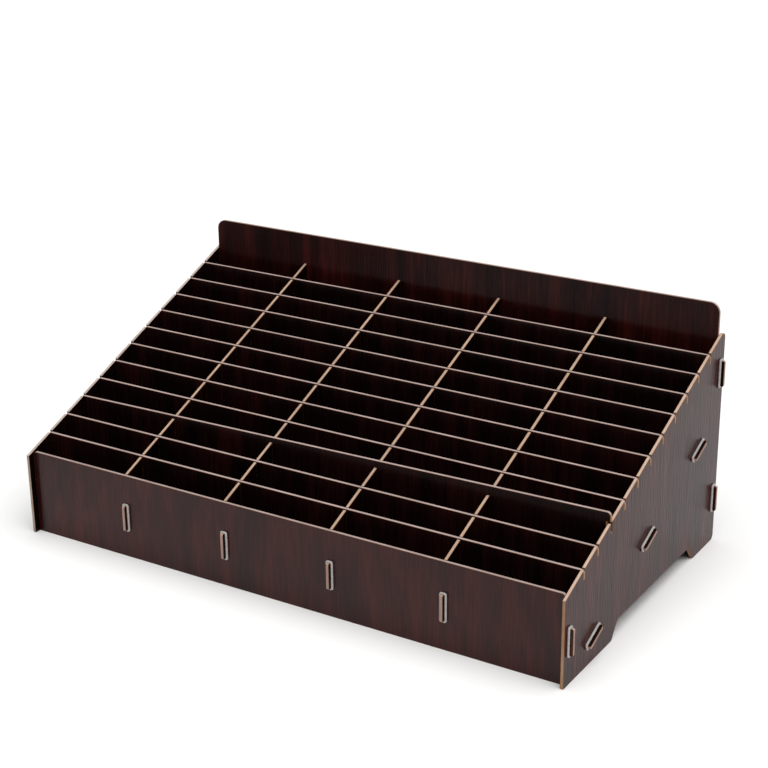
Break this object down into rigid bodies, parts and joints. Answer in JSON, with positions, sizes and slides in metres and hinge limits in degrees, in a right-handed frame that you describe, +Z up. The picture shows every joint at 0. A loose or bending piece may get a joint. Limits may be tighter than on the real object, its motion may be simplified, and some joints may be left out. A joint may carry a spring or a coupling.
{
  "type": "compartment rack",
  "caption": "Desktop rack of slotted boards with narrow open-top compartments, stepped up a sloping floor, and row dividers that lift out.",
  "frame": {"origin": "on the table, under the middle of the case", "axes": "+X to the right along the front, +Y to the back, +Z up; the low front panel faces -Y"},
  "size_m": [0.4856, 0.2684, 0.1995],
  "materials": {
    "board": "satin dark walnut-grain foil on fibreboard, light brown cut edges",
    "ring": "light grey elastic rubber"
  },
  "bodies": {
    "case": {"side_panel_left": "board", "side_panel_right": "board", "front_panel": "board", "back_panel": "board", "floor_board": "board", "column_divider_1": "board", "column_divider_2": "board", "column_divider_3": "board", "column_divider_4": "board", "locking_ring_front_1": "ring", "locking_ring_front_2": "ring", "locking_ring_front_3": "ring", "locking_ring_front_4": "ring", "locking_ring_rear_1": "ring", "locking_ring_rear_2": "ring", "locking_ring_rear_3": "ring", "locking_ring_rear_4": "ring", "locking_ring_left_1": "ring", "locking_ring_left_2": "ring", "locking_ring_left_3": "ring", "locking_ring_left_4": "ring", "locking_ring_left_5": "ring", "locking_ring_left_6": "ring", "locking_ring_right_1": "ring", "locking_ring_right_2": "ring", "locking_ring_right_3": "ring", "locking_ring_right_4": "ring", "locking_ring_right_5": "ring", "locking_ring_right_6": "ring"},
    "row_divider_1_body": {"row_divider_1": "board"},
    "row_divider_2_body": {"row_divider_2": "board"},
    "row_divider_3_body": {"row_divider_3": "board"},
    "row_divider_4_body": {"row_divider_4": "board"},
    "row_divider_5_body": {"row_divider_5": "board"},
    "row_divider_6_body": {"row_divider_6": "board"},
    "row_divider_7_body": {"row_divider_7": "board"},
    "row_divider_8_body": {"row_divider_8": "board"},
    "row_divider_9_body": {"row_divider_9": "board"},
    "row_divider_10_body": {"row_divider_10": "board"},
    "row_divider_11_body": {"row_divider_11": "board"}
  },
  "joints": [
    {"name": "row_divider_1_lift", "type": "slide", "parent": "case", "child": "row_divider_1_body", "axis": [0, 0, 1], "range_m": [0, 0.08]},
    {"name": "row_divider_2_lift", "type": "slide", "parent": "case", "child": "row_divider_2_body", "axis": [0, 0, 1], "range_m": [0, 0.08]},
    {"name": "row_divider_3_lift", "type": "slide", "parent": "case", "child": "row_divider_3_body", "axis": [0, 0, 1], "range_m": [0, 0.08]},
    {"name": "row_divider_4_lift", "type": "slide", "parent": "case", "child": "row_divider_4_body", "axis": [0, 0, 1], "range_m": [0, 0.08]},
    {"name": "row_divider_5_lift", "type": "slide", "parent": "case", "child": "row_divider_5_body", "axis": [0, 0, 1], "range_m": [0, 0.08]},
    {"name": "row_divider_6_lift", "type": "slide", "parent": "case", "child": "row_divider_6_body", "axis": [0, 0, 1], "range_m": [0, 0.08]},
    {"name": "row_divider_7_lift", "type": "slide", "parent": "case", "child": "row_divider_7_body", "axis": [0, 0, 1], "range_m": [0, 0.08]},
    {"name": "row_divider_8_lift", "type": "slide", "parent": "case", "child": "row_divider_8_body", "axis": [0, 0, 1], "range_m": [0, 0.08]},
    {"name": "row_divider_9_lift", "type": "slide", "parent": "case", "child": "row_divider_9_body", "axis": [0, 0, 1], "range_m": [0, 0.08]},
    {"name": "row_divider_10_lift", "type": "slide", "parent": "case", "child": "row_divider_10_body", "axis": [0, 0, 1], "range_m": [0, 0.08]},
    {"name": "row_divider_11_lift", "type": "slide", "parent": "case", "child": "row_divider_11_body", "axis": [0, 0, 1], "range_m": [0, 0.08]}
  ]
}
